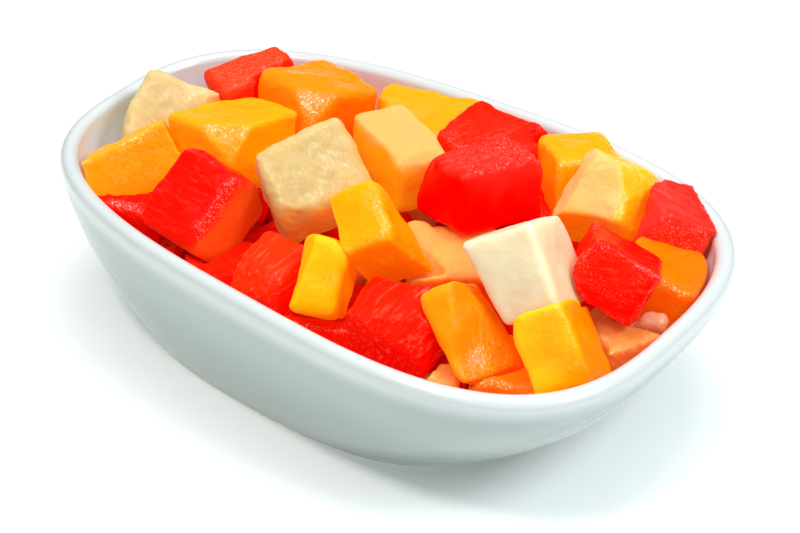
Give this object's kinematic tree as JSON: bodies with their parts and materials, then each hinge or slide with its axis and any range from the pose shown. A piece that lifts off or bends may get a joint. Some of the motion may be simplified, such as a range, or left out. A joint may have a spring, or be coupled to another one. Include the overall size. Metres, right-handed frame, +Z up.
{
  "type": "fruit salad in a bowl",
  "caption": "Fruit salad of cut red papaya, orange mango, pale pineapple and cream melon, heaped in an oval white porcelain bowl with a thick rounded rim.",
  "frame": {"origin": "on the table under the middle of the bowl's overall length and width", "axes": "+X along the bowl's length towards its broader end, +Y across it, +Z up"},
  "size_m": [0.17, 0.1086, 0.0609],
  "materials": {
    "bowl": "white glazed porcelain, glossy",
    "papaya": "wet cut red papaya flesh",
    "mango": "wet cut ripe mango flesh",
    "pineapple": "wet pale yellow pineapple flesh",
    "melon": "wet pale cream melon flesh",
    "juicy_fruit": "lower pieces of papaya, mango and pineapple in their juice"
  },
  "bodies": {
    "root": {"bowl": "bowl", "melon_1": "melon", "papaya_3": "papaya", "mango_9": "mango", "papaya_6": "papaya", "pineapple_2": "pineapple", "mango_3": "mango", "mango_7": "mango", "papaya_1": "papaya", "mango_2": "mango", "papaya_4": "papaya", "papaya_5": "papaya", "mango_5": "mango", "mango_6": "mango", "papaya_2": "papaya", "mango_10": "mango", "pineapple_1": "pineapple", "mango_1": "mango", "mango_11": "mango", "mango_12": "mango", "papaya_8": "papaya", "mango_4": "mango", "mango_8": "mango", "papaya_7": "papaya", "pineapple_5": "pineapple", "papaya_14": "papaya", "pineapple_3": "pineapple", "papaya_9": "papaya", "papaya_12": "papaya", "papaya_13": "papaya", "pineapple_4": "pineapple", "pineapple_6": "pineapple", "papaya_10": "papaya", "mango_13": "mango", "papaya_11": "papaya", "fruit_bed": "juicy_fruit"}
  },
  "joints": []
}
